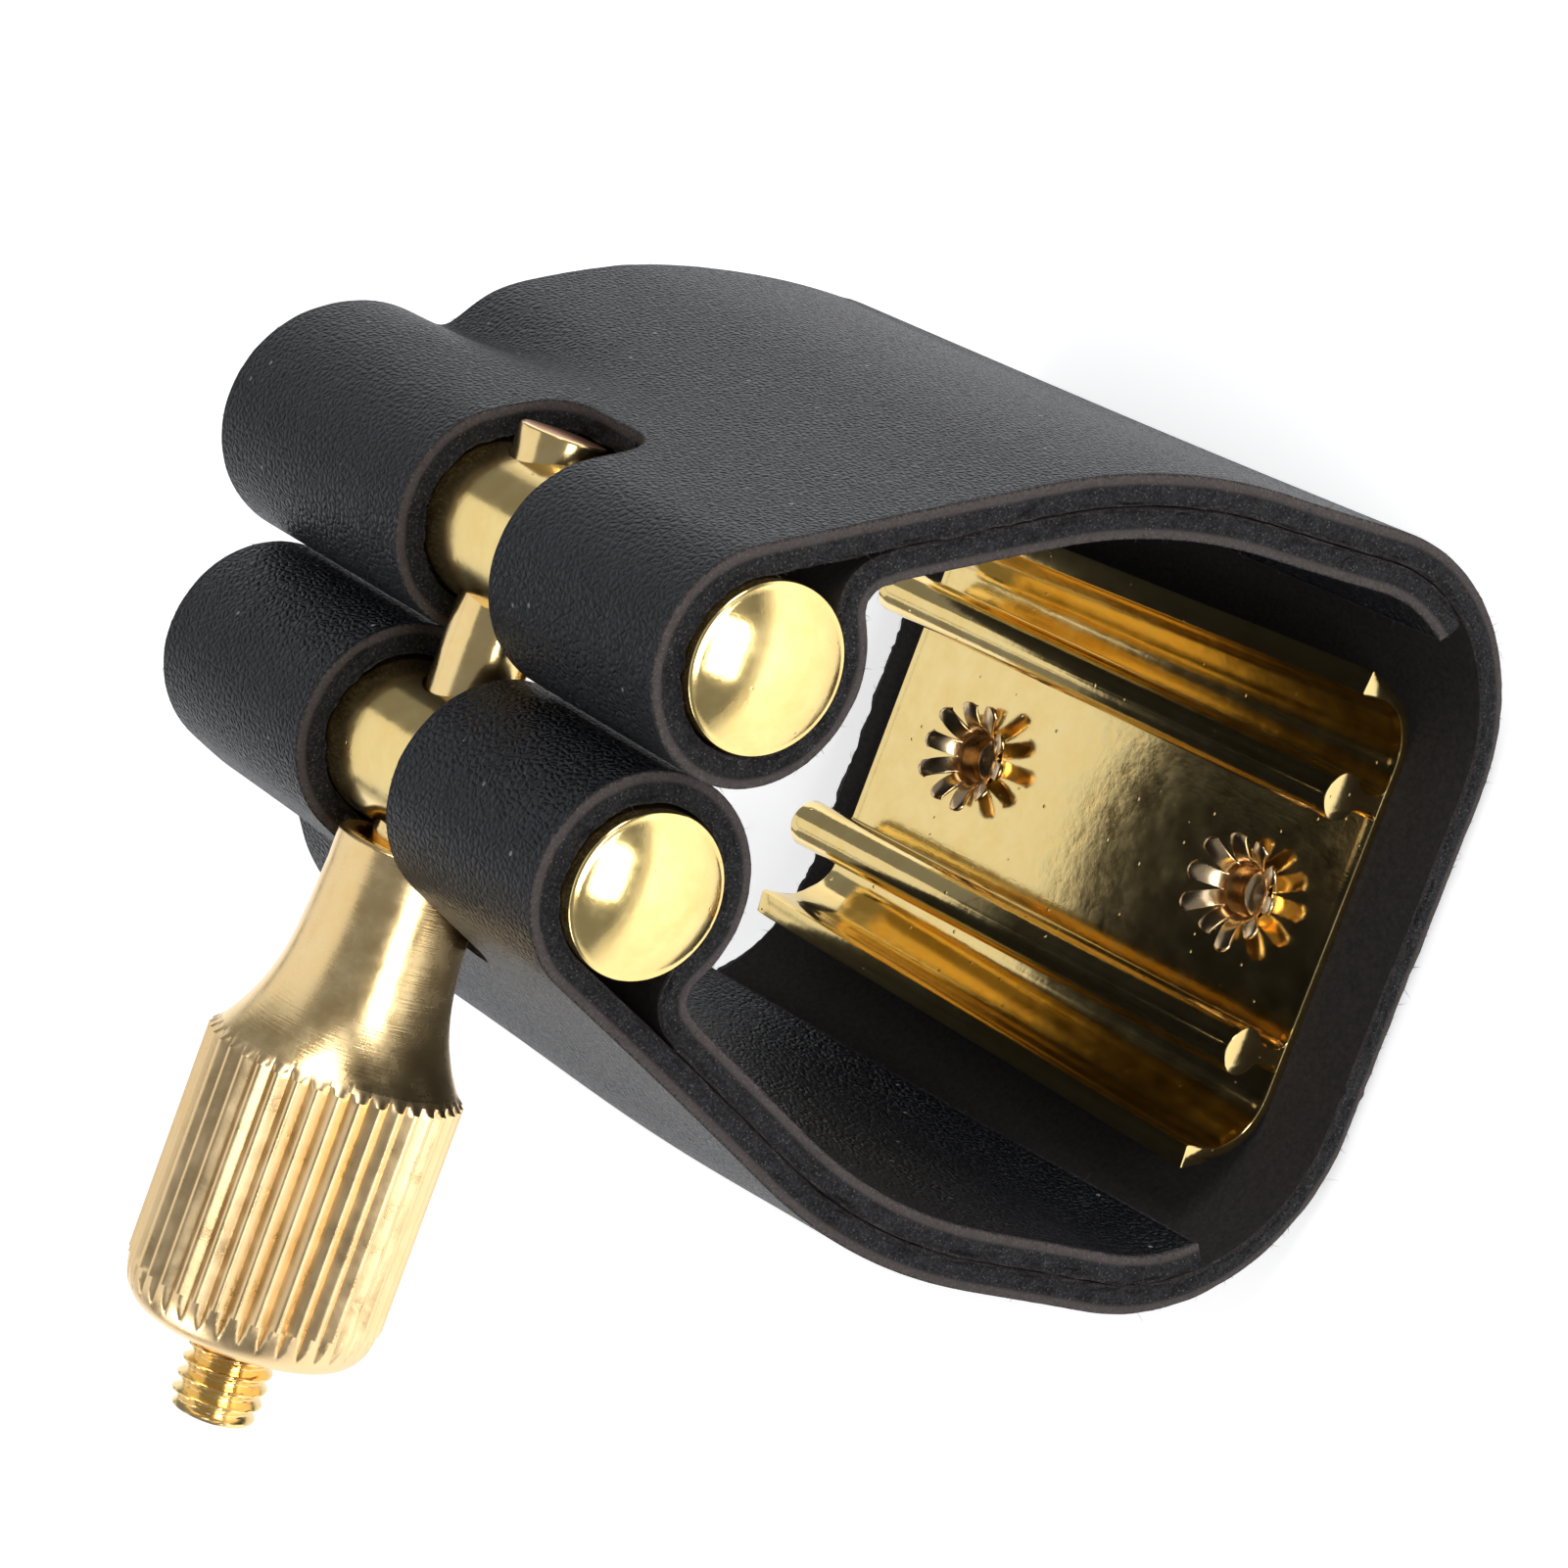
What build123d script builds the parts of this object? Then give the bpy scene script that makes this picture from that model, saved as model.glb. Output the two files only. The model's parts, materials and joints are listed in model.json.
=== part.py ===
from build123d import *
import math
import os

# Leather saxophone ligature. Millimetres. +Z up from the reed plate to the barrels,
# Y along the mouthpiece with the wide, front end at -Y, +X from the thumb nut to the anchor barrel.
# The origin is the centre of the mouthpiece opening.

# ---- driving dimensions ----
plate_floor_z = -14.5        # upper face of the reed plate's floor
taper_deg = 9.6              # the barrels come down towards the back by this angle
front_edge_y = -17.0         # where the leather's front edge meets the level of the plate's floor
barrel_height = 31.5         # from the plate's floor to the barrel axes, square to the barrels
barrel_diameter = 6.0
barrel_spacing = 8.62
barrel_overhang = 0.33       # barrel edge beyond the leather at each end
dome_rise = 0.9
leather = 1.15               # one layer
loop_clearance = 0.02        # leather loop to barrel
anchor_loop = (0.0, 30.6)    # front and back end, from the front edge along the barrels
sliding_loop = (1.8, 29.1)
anchor_slot = (10.8, 17.3)   # front and back edge of the window for the stud
sliding_slot = (12.0, 18.6)  # and of the window for the neck of the nut
band_half_width = 15.25      # outside of the leather at its widest
band_corner = 8.6            # outer radius between the flat bottom and the sides
band_back_bottom = 28.3      # back edge of the leather at the level of the plate
side_lean_deg = 24.8         # the sides lean in towards the loops
side_bulge_radius = 23.6
side_bulge_end = -18.9       # levels in the band are measured down from the barrel axes
strap_split_level = -20.0    # where the moving side of the strap begins
split_gap = 0.3
tail_end_height = 3.1        # the folded-back ends of the strap stop this far above the plate's floor

stud_along_barrel = 15.3     # stud axis from the front edge
stud_diameter = 3.3
stud_top = 8.12              # end face beyond the anchor barrel
stud_tip = -29.25
thread_start = -12.0
thread_pitch = 0.6
thread_depth = 0.3
cross_hole_play = 0.1        # radial, between the stud and the sliding barrel

nut_top = -7.4
nut_neck_diameter = 5.6
nut_body_diameter = 9.55
nut_collar_length = 1.3
nut_shoulder = -15.5
nut_knurl_end = -24.4
nut_bottom = -26.1
nut_bottom_diameter = 6.7
nut_bore_play = 0.06
knurl_teeth = 38
knurl_depth = 0.3

plate_front_y = -14.2
plate_back_y = 10.0
plate_sheet = 0.4
bead_spacing = 10.06
bead_diameter = 1.9
bead_height = 2.35           # bead centre above the floor
web_thickness = 0.7
flange_half_width = 8.85     # inner face of the upright flange
flange_bend = 2.3            # inner radius between floor and flange
flange_top = 3.5
flange_lip = 0.95

eyelet_front_y = -9.87
eyelet_back_y = 4.82
eyelet_bore = 2.2
eyelet_wall = 0.25
eyelet_petals = 10
eyelet_star_diameter = 4.7
eyelet_head_diameter = 5.0
eyelet_head_thickness = 0.3

# ---- derived values ----
taper = math.radians(taper_deg)
side_lean = math.radians(side_lean_deg)
barrel_radius = barrel_diameter / 2
loop_inner_radius = barrel_radius + loop_clearance
loop_outer_radius = loop_inner_radius + leather
barrel_x = barrel_spacing / 2
plate_under_z = plate_floor_z - plate_sheet
leather_bottom_z = plate_under_z - leather
band_bottom_front = -barrel_height - (plate_sheet + leather) / math.cos(taper)
band_length = 31.5
full_depth = (-2.0, band_length + 2.0)
stud_radius = stud_diameter / 2

# Section planes across the band, square to the barrels: local X is X, local Y is up.
front_plane = Plane(
    origin=(0, front_edge_y + barrel_height * math.sin(taper), plate_floor_z + barrel_height * math.cos(taper)),
    x_dir=(1, 0, 0),
    z_dir=(0, -math.cos(taper), math.sin(taper)),
)


def section_plane(distance, x=0.0):
    """The section plane this far behind the front edge, with its origin on the barrel level."""
    return Plane(front_plane.from_local_coords((x, 0, -distance)), x_dir=(1, 0, 0), z_dir=front_plane.z_dir)


def band_point(x, level, distance):
    """A point given across the band, up from the barrel level, and back from the front edge."""
    return front_plane.from_local_coords((x, level, -distance))


def edge_plane(low, high):
    """The plane through two points of a leather edge and parallel to X, facing the front."""
    rise = high - low
    return Plane(low, x_dir=(1, 0, 0), z_dir=Vector(1, 0, 0).cross(rise))


def band_section(distance, inset, rise):
    """The band's outline inset from its outer surface, with its shoulders drawn on upwards by rise."""
    bottom = band_bottom_front + distance * math.tan(taper)
    shoulder_x = 8.1
    shoulder_level = 1.75
    start_x = shoulder_x - inset * math.cos(side_lean) - rise * math.tan(side_lean)
    start_level = shoulder_level - inset * math.sin(side_lean) + rise
    bulge_centre_x = band_half_width - side_bulge_radius
    bulge_radius = side_bulge_radius - inset
    knee_x = bulge_centre_x + bulge_radius * math.cos(side_lean)
    knee_level = side_bulge_end + bulge_radius * math.sin(side_lean)
    wall_x = band_half_width - inset
    corner_radius = band_corner - inset
    with BuildSketch(section_plane(distance)) as section:
        with BuildLine():
            side = Line((start_x, start_level), (knee_x, knee_level))
            bulge = RadiusArc(side @ 1, (wall_x, side_bulge_end), bulge_radius)
            wall = Line(bulge @ 1, (wall_x, bottom + band_corner))
            corner = RadiusArc(wall @ 1, (wall_x - corner_radius, bottom + inset), corner_radius)
            Line(corner @ 1, (0, bottom + inset))
            Line((0, start_level), side @ 0)
            mirror(about=Plane.YZ)
        make_face()
    return section.sketch


def band_loft(inset, rise, mode=Mode.ADD):
    """The tapered band's solid inside an inset, from the front edge back."""
    loft([band_section(0, inset, rise), band_section(band_length, inset, rise)], mode=mode)


def band_region(low, high, ends, mode):
    """Keeps or removes what lies between two corners, given as (x, level), and between two distances."""
    with BuildSketch(section_plane(ends[0])) as region:
        with Locations(((low[0] + high[0]) / 2, (low[1] + high[1]) / 2)):
            Rectangle(high[0] - low[0], high[1] - low[1])
    extrude(region.sketch, amount=-(ends[1] - ends[0]), mode=mode)


def along_barrel(side, radius, ends, mode=Mode.ADD):
    """A round rod or hole on a barrel's axis between two distances from the front edge."""
    with BuildSketch(section_plane(ends[0], side * barrel_x)) as circle:
        Circle(radius)
    extrude(circle.sketch, amount=-(ends[1] - ends[0]), mode=mode)


def trim_edges(ends):
    """Cuts the leather's front and back edges straight from the plate up to the ends of the loop."""
    back_level = band_bottom_front + band_back_bottom * math.tan(taper)
    front_cut = edge_plane(band_point(0, band_bottom_front, 0), band_point(0, 0, ends[0]))
    back_cut = edge_plane(band_point(0, back_level, band_back_bottom), band_point(0, 0, ends[1]))
    split(bisect_by=front_cut, keep=Keep.BOTTOM)
    split(bisect_by=back_cut, keep=Keep.TOP)


# ---- leather strap ----
# Room inside the single layer, below the folded-back ends.
with BuildPart() as single_layer_room:
    band_loft(leather, 8)
    split(bisect_by=Plane.XY.offset(plate_floor_z + tail_end_height), keep=Keep.BOTTOM)

# Bottom, fixed side and the loop of the anchor barrel.
with BuildPart() as strap_base:
    band_loft(0, 0)
    band_loft(2 * leather, 8, Mode.SUBTRACT)
    add(single_layer_room.part, mode=Mode.SUBTRACT)
    band_region((-20, strap_split_level - split_gap / 2), (0, 12), full_depth, Mode.SUBTRACT)
    along_barrel(1, loop_outer_radius, anchor_loop)
    trim_edges(anchor_loop)
    along_barrel(1, loop_inner_radius, full_depth, Mode.SUBTRACT)
    band_region((-0.5, -2.6), (10.5, 4.8), anchor_slot, Mode.SUBTRACT)
    for eyelet_y in (eyelet_front_y, eyelet_back_y):
        with Locations((0, eyelet_y, leather_bottom_z)):
            Cylinder(
                eyelet_bore / 2 + eyelet_wall,
                leather,
                align=(Align.CENTER, Align.CENTER, Align.MIN),
                mode=Mode.SUBTRACT,
            )
            Cylinder(
                eyelet_head_diameter / 2,
                eyelet_head_thickness,
                align=(Align.CENTER, Align.CENTER, Align.MIN),
                mode=Mode.SUBTRACT,
            )
strap_base.part.label = "strap_base"

# Moving side and the loop of the sliding barrel.
with BuildPart() as strap_arm:
    band_loft(0, 0)
    band_loft(2 * leather, 8, Mode.SUBTRACT)
    band_region((-20, strap_split_level + split_gap / 2), (0, 12), full_depth, Mode.INTERSECT)
    along_barrel(-1, loop_outer_radius, sliding_loop)
    trim_edges(sliding_loop)
    along_barrel(-1, loop_inner_radius, full_depth, Mode.SUBTRACT)
    band_region((-13, -3.4), (0.5, 4.8), sliding_slot, Mode.SUBTRACT)
strap_arm.part.label = "strap_arm"


# ---- barrels ----
def barrel_half_section(side, ends):
    """Half section of a barrel with shallow domed ends, on a plane with X along the barrel."""
    axis_plane = Plane(band_point(side * barrel_x, 0, 0), x_dir=-front_plane.z_dir, z_dir=(1, 0, 0))
    front_end = ends[0] - barrel_overhang
    back_end = ends[1] + barrel_overhang
    dome_radius = (barrel_radius**2 + dome_rise**2) / (2 * dome_rise)
    with BuildSketch(axis_plane) as section:
        with BuildLine():
            front_dome = RadiusArc((front_end - dome_rise, 0), (front_end, barrel_radius), dome_radius)
            body = Line(front_dome @ 1, (back_end, barrel_radius))
            back_dome = RadiusArc(body @ 1, (back_end + dome_rise, 0), dome_radius)
            Line(back_dome @ 1, front_dome @ 0)
        make_face()
    return section.sketch


stud_centre = band_point(0, 0, stud_along_barrel)
stud_axis = Axis(stud_centre, (1, 0, 0))


def cross_hole(radius):
    """Drills a barrel for the stud."""
    with BuildSketch(Plane(stud_centre, z_dir=(1, 0, 0))) as circle:
        Circle(radius)
    extrude(circle.sketch, amount=2 * barrel_spacing, both=True, mode=Mode.SUBTRACT)


with BuildPart() as anchor_barrel:
    revolve(barrel_half_section(1, anchor_loop), axis=Axis(band_point(barrel_x, 0, 0), front_plane.z_dir))
    cross_hole(stud_radius)
anchor_barrel.part.label = "anchor_barrel"

with BuildPart() as sliding_barrel:
    revolve(barrel_half_section(-1, sliding_loop), axis=Axis(band_point(-barrel_x, 0, 0), front_plane.z_dir))
    cross_hole(stud_radius + cross_hole_play)
sliding_barrel.part.label = "sliding_barrel"


# ---- stud and thumb nut ----
stud_profile_plane = Plane(stud_centre, x_dir=(1, 0, 0), z_dir=front_plane.z_dir)

# The thread is drawn as rings of the real depth and pitch.
with BuildPart() as draw_stud:
    thread_turns = int((thread_start - stud_tip) / thread_pitch)
    root_radius = stud_radius - thread_depth
    thread_points = []
    for turn in range(thread_turns):
        crest_x = thread_start - turn * thread_pitch
        thread_points += [(crest_x, stud_radius), (crest_x - thread_pitch / 2, root_radius)]
    thread_end_x = thread_start - thread_turns * thread_pitch
    with BuildSketch(stud_profile_plane):
        with BuildLine():
            Polyline(
                (stud_top, 0),
                (stud_top, stud_radius),
                *thread_points,
                (thread_end_x, root_radius),
                (stud_tip, root_radius - 0.1),
                (stud_tip, 0),
                close=True,
            )
        make_face()
    revolve(axis=stud_axis)
draw_stud.part.label = "draw_stud"

with BuildPart() as thumb_nut:
    nut_bore = stud_radius + nut_bore_play
    neck_radius = nut_neck_diameter / 2
    body_radius = nut_body_diameter / 2
    countersink = 0.6
    shoulder_chamfer = 0.3
    with BuildSketch(stud_profile_plane):
        with BuildLine():
            collar = Polyline(
                (nut_top - countersink, nut_bore),
                (nut_top, nut_bore + countersink),
                (nut_top, neck_radius),
                (nut_top - nut_collar_length, neck_radius),
            )
            flare = RadiusArc(collar @ 1, (nut_shoulder, body_radius - shoulder_chamfer), 11)
            body = Polyline(
                flare @ 1,
                (nut_shoulder - shoulder_chamfer, body_radius),
                (nut_knurl_end, body_radius),
            )
            base = RadiusArc(body @ 1, (nut_bottom, nut_bottom_diameter / 2), -2.2)
            Polyline(base @ 1, (nut_bottom, nut_bore), collar @ 0)
        make_face()
    revolve(axis=stud_axis)
    with BuildSketch(Plane((nut_shoulder, stud_centre.Y, stud_centre.Z), z_dir=(-1, 0, 0))):
        with PolarLocations(body_radius, knurl_teeth):
            Rectangle(knurl_depth * math.sqrt(2), knurl_depth * math.sqrt(2), rotation=45)
    extrude(amount=nut_shoulder - nut_knurl_end, mode=Mode.SUBTRACT)
thumb_nut.part.label = "thumb_nut"


# ---- reed plate and its eyelets ----
with BuildPart() as reed_plate:
    bead_x = bead_spacing / 2
    bend_x = flange_half_width - flange_bend
    lip_rise = 0.8
    with BuildSketch(Plane((0, plate_front_y, plate_floor_z), x_dir=(1, 0, 0), z_dir=(0, -1, 0))):
        with BuildLine():
            floor = Line((0, 0), (bend_x, 0))
            inner_bend = RadiusArc(floor @ 1, (flange_half_width, flange_bend), -flange_bend)
            inner_edge = Polyline(
                inner_bend @ 1,
                (flange_half_width, flange_top),
                (flange_half_width + flange_lip, flange_top - 0.1),
                (flange_half_width + plate_sheet, flange_top - lip_rise - flange_lip),
                (flange_half_width + plate_sheet, flange_bend),
            )
            outer_bend = RadiusArc(inner_edge @ 1, (bend_x, -plate_sheet), flange_bend + plate_sheet)
            Polyline(outer_bend @ 1, (0, -plate_sheet), (0, 0))
        make_face()
        with Locations((bead_x, bead_height / 2)):
            Rectangle(web_thickness, bead_height)
        with Locations((bead_x, bead_height)):
            Circle(bead_diameter / 2)
        mirror(about=Plane.YZ)
    extrude(amount=-(plate_back_y - plate_front_y))
    for eyelet_y in (eyelet_front_y, eyelet_back_y):
        with Locations((0, eyelet_y, plate_under_z)):
            Cylinder(
                eyelet_bore / 2 + eyelet_wall,
                plate_sheet,
                align=(Align.CENTER, Align.CENTER, Align.MIN),
                mode=Mode.SUBTRACT,
            )
reed_plate.part.label = "reed_plate"


def make_eyelet(centre_y):
    """A tubular rivet with a closed head under the leather, split into curled petals over the plate."""
    bore_radius = eyelet_bore / 2
    star_radius = eyelet_star_diameter / 2
    head_radius = eyelet_head_diameter / 2
    profile_plane = Plane((0, centre_y, plate_floor_z), x_dir=(1, 0, 0), z_dir=(0, -1, 0))
    head_under = leather_bottom_z - plate_floor_z
    with BuildPart() as eyelet:
        with BuildSketch(profile_plane):
            with BuildLine():
                under = Polyline(
                    (star_radius, 0),
                    (bore_radius + eyelet_wall, 0),
                    (bore_radius + eyelet_wall, head_under + eyelet_head_thickness),
                    (head_radius, head_under + eyelet_head_thickness),
                    (head_radius, head_under),
                    (0, head_under),
                    (0, head_under + eyelet_head_thickness),
                    (bore_radius, head_under + eyelet_head_thickness),
                    (bore_radius, 0.1),
                )
                curl = ThreePointArc(under @ 1, (bore_radius + 0.4, 0.55), (star_radius - 0.3, 0.35))
                Line(curl @ 1, under @ 0)
            make_face()
        revolve(axis=Axis((0, centre_y, 0), (0, 0, 1)))
        with BuildSketch(Plane((0, centre_y, plate_floor_z))):
            with PolarLocations(star_radius, eyelet_petals):
                Trapezoid(0.75, 1.3, 80, rotation=90)
        extrude(amount=1, mode=Mode.SUBTRACT)
    return eyelet.part


eyelet_front = make_eyelet(eyelet_front_y)
eyelet_front.label = "eyelet_front"
eyelet_back = make_eyelet(eyelet_back_y)
eyelet_back.label = "eyelet_back"

os.makedirs("parts", exist_ok=True)
export_step(strap_base.part, "parts/strap_base.step")
export_step(strap_arm.part, "parts/strap_arm.step")
export_step(reed_plate.part, "parts/reed_plate.step")
export_step(eyelet_front, "parts/eyelet_front.step")
export_step(eyelet_back, "parts/eyelet_back.step")
export_step(anchor_barrel.part, "parts/anchor_barrel.step")
export_step(sliding_barrel.part, "parts/sliding_barrel.step")
export_step(draw_stud.part, "parts/draw_stud.step")
export_step(thumb_nut.part, "parts/thumb_nut.step")
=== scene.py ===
import json
import math

import bmesh
import bpy
import numpy as np
from mathutils import Euler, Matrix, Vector


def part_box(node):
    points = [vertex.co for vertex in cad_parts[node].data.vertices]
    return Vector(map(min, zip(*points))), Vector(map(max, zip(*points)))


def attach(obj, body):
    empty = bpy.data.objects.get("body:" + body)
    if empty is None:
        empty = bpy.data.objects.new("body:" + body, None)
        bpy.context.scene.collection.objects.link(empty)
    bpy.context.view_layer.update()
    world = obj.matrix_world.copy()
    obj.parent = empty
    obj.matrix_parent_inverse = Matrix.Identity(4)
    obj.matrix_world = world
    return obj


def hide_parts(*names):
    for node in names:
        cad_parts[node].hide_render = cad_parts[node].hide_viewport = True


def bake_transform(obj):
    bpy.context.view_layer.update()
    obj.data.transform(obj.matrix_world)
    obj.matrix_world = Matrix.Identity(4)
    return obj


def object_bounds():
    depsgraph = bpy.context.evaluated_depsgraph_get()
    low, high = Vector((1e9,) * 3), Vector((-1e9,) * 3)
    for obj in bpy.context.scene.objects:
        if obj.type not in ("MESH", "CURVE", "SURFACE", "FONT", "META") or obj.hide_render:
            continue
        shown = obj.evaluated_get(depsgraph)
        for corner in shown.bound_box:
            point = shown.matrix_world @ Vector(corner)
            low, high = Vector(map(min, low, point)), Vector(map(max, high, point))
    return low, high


# A leather saxophone ligature: a strap rolled round two barrels, a stud and a thumb nut that draw
# the barrels together, and a plate riveted inside to press the reed. Shapes are in millimetres in
# the CAD's frame: +Z from the reed plate to the barrels, -Y towards the wide front end, +X from
# the thumb nut to the anchor barrel.
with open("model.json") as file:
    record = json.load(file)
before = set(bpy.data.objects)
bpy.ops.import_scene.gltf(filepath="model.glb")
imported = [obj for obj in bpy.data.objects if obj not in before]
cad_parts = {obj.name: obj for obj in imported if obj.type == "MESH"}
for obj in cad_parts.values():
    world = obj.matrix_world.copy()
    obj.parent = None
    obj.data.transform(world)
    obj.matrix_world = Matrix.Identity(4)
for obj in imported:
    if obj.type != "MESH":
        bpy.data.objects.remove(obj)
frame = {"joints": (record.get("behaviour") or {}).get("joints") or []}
cad_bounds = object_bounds()

MM = 0.001
rng = np.random.default_rng(7)


def cad_box(node_name):
    """A CAD node's lowest and highest corners in millimetres."""
    low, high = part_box(node_name)
    return np.array(low) / MM, np.array(high) / MM


def cad_middle(node_name):
    low, high = cad_box(node_name)
    return (low + high) / 2


# ---- dimensions ----
# A level is measured up from the barrels' axes, and a distance back along them from the front end
# of the anchor loop.
TAPER = math.radians(9.6)        # between the bottom and the barrels
LEAN = math.radians(24.8)        # of the walls' upper part, from upright
LEATHER = 1.13                   # thickness
LAYER_GAP = 0.02                 # between the band's two layers
OUTER_OFFSET = 0.575             # from the band's outer surface to the middle of the outer layer
INNER_OFFSET = 1.725             # and to the middle of the inner layer, but for the gap
LOOP_RADIUS = 3.595              # middle of the leather round a barrel
FOLD_RADIUS = 1.5                # where each end turns back down, below its barrel
BAND_HALF_WIDTH = 15.25          # to the outer surface
BULGE_RADIUS = 23.6              # between a wall's upright and leaning parts
BULGE_END = -18.9                # level of the bulge's lower end
CORNER_RADIUS = 8.6              # outer surface at the bottom
BOTTOM_LEVEL = -33.072           # outer surface at the front edge
BACK_BOTTOM = 28.3               # distance of the bottom's back edge
TAIL_HEIGHT = 4.72               # end of the inner layer, above the outer surface of the bottom
ANCHOR_ENDS = (0.0, 30.7)        # distances of the loops' and the barrels' ends
SLIDING_ENDS = (1.8, 29.3)
ANCHOR_BARREL = (0.0, 30.6)
SLIDING_BARREL = (1.8, 29.1)
STUD_DISTANCE = 15.3
PLATE_SHEET = 0.4
RIVETS = ("eyelet_front", "eyelet_back")     # the star rivets

stud_joint = next(j for j in frame["joints"] if j["name"] == "nut_turn")
STUD_CENTRE = np.array(stud_joint["pos_m"]) / MM * (0, 1, 1)
ALONG = np.array((0, math.cos(TAPER), -math.sin(TAPER)))
UP = np.array((0, math.sin(TAPER), math.cos(TAPER)))
SIDEWAYS = np.array((1.0, 0, 0))
FRONT = STUD_CENTRE - STUD_DISTANCE * ALONG
plate_low, plate_high = cad_box("reed_plate")
anchor_low, anchor_high = cad_box("anchor_barrel")
BARREL_X = (anchor_low[0] + anchor_high[0]) / 2
BARREL_RADIUS = (anchor_high[0] - anchor_low[0]) / 2
PLATE_FLOOR = plate_low[2] + PLATE_SHEET


# ---- meshes ----
def new_piece(name, points, faces, materials, smooth_angle=40):
    """A mesh object from points in millimetres, shaded smooth but for its sharp edges."""
    mesh = bpy.data.meshes.new(name)
    mesh.from_pydata((np.asarray(points, float) * MM).tolist(), [], faces)
    mesh.validate()
    mesh.shade_smooth()
    mesh.set_sharp_from_angle(angle=math.radians(smooth_angle))
    for material in materials:
        mesh.materials.append(material)
    piece = bpy.data.objects.new(name, mesh)
    bpy.context.scene.collection.objects.link(piece)
    return piece


def full_turn(segments):
    return np.linspace(0, 2 * np.pi, segments, endpoint=False)


def band_faces(ring, size, flip=False):
    """The faces between a closed ring of points and the ring before it."""
    a, b = (ring - 1) * size, ring * size
    faces = []
    for i in range(size):
        j = (i + 1) % size
        faces.append([a + i, b + i, b + j, a + j] if flip else [a + i, a + j, b + j, b + i])
    return faces


def end_faces(rings, size):
    """The two faces that close the first and the last of some rings of points."""
    return [list(range(size))[::-1], list(range((rings - 1) * size, rings * size))]


def mend(piece, parts=(), merge=0.0, fill=False):
    """Adds parts to a piece, joins coincident points, fills open ends and turns faces outwards."""
    mesh = bmesh.new()
    mesh.from_mesh(piece.data)
    for part in parts:
        mesh.from_mesh(part.data)
        bpy.data.objects.remove(part)
    if merge:
        bmesh.ops.remove_doubles(mesh, verts=mesh.verts, dist=merge)
    if fill:
        open_edges = [edge for edge in mesh.edges if edge.is_boundary]
        bmesh.ops.holes_fill(mesh, edges=open_edges, sides=0)
    bmesh.ops.recalc_face_normals(mesh, faces=mesh.faces)
    mesh.to_mesh(piece.data)
    mesh.free()


def cut_holes(piece, holes, smooth_angle):
    """Cuts round holes, each given by its middle, half length along its axis, and radius."""
    segments = 64
    angles = full_turn(segments)
    for middle, half_length, radius in holes:
        axis = np.array(half_length, float)
        across = np.array((0, 1.0, 0)) if abs(axis[0]) > abs(axis[2]) else SIDEWAYS
        other = np.cross(axis / np.linalg.norm(axis), across)
        ring = radius * (np.outer(np.cos(angles), across) + np.outer(np.sin(angles), other))
        cutter = new_piece("cutter", np.vstack([middle - axis + ring, middle + axis + ring]),
                           band_faces(1, segments) + end_faces(2, segments), [])
        cut = piece.modifiers.new("hole", "BOOLEAN")
        cut.object = cutter
        cut.operation = "DIFFERENCE"
        cut.solver = "EXACT"
        bpy.context.view_layer.update()
        evaluated = piece.evaluated_get(bpy.context.evaluated_depsgraph_get())
        drilled = bpy.data.meshes.new_from_object(evaluated)
        piece.modifiers.clear()
        piece.data = drilled
        bpy.data.objects.remove(cutter)
    piece.data.shade_smooth()
    piece.data.set_sharp_from_angle(angle=math.radians(smooth_angle))


# ---- shader nodes ----
def set_inputs(tree, shader, inputs):
    """Links the sockets and sets the values given for a node's inputs."""
    for key, value in inputs.items():
        if isinstance(value, bpy.types.NodeSocket):
            tree.links.new(value, shader.inputs[key])
        else:
            shader.inputs[key].default_value = value


def node(tree, kind, inputs=None, **settings):
    """A shader node with its settings and inputs."""
    made = tree.nodes.new("ShaderNode" + kind)
    for key, value in settings.items():
        setattr(made, key, value)
    set_inputs(tree, made, inputs or {})
    return made


def ramp(tree, factor, stops):
    """A colour ramp over the factor, from (position, colour) stops."""
    made = node(tree, "ValToRGB", {"Fac": factor})
    elements = made.color_ramp.elements
    while len(elements) < len(stops):
        elements.new(0.5)
    for element, (position, colour) in zip(elements, stops):
        element.position = position
        element.color = (*colour, 1)
    return made.outputs["Color"]


def new_material(name):
    """A node material, its tree and its Principled shader."""
    material = bpy.data.materials.new(name)
    material.use_nodes = True
    return material, material.node_tree, material.node_tree.nodes["Principled BSDF"]


def mapped(tree, scale, source="Object"):
    """Coordinates times a scale per millimetre. The strap's UV map is in millimetres already."""
    coords = node(tree, "TexCoord")
    if isinstance(scale, (int, float)):
        scale = (scale,) * 3
    per_unit = 1 / MM if source == "Object" else 1
    mapping = node(tree, "Mapping", {"Vector": coords.outputs[source],
                                               "Scale": [s * per_unit for s in scale]})
    return mapping.outputs["Vector"]


def noise(tree, vector, scale, detail=3.0, roughness=0.5):
    """Fractal noise from 0 to 1."""
    made = node(tree, "TexNoise", {"Vector": vector, "Scale": scale, "Detail": detail,
                                             "Roughness": roughness})
    return made.outputs["Fac"]


def spots(tree, vector, scale, dimensions="3D", feature="F1"):
    """Distance to the nearest of scattered points, or to the edges between their cells."""
    made = node(tree, "TexVoronoi", {"Vector": vector, "Scale": scale, "Randomness": 1.0},
                voronoi_dimensions=dimensions, feature=feature)
    return made.outputs["Distance"]


def scaled(tree, value, low, high, out_low, out_high):
    """A value's range mapped to another and kept within it."""
    made = node(tree, "MapRange", {"Value": value, "From Min": low, "From Max": high,
                                             "To Min": out_low, "To Max": out_high})
    return made.outputs["Result"]


def bump(tree, height, distance, strength=1.0, below=None):
    """A bumped normal, its depth in millimetres, on top of the one below."""
    inputs = {"Height": height, "Distance": distance * MM, "Strength": strength}
    if below is not None:
        inputs["Normal"] = below
    return node(tree, "Bump", inputs).outputs["Normal"]


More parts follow.
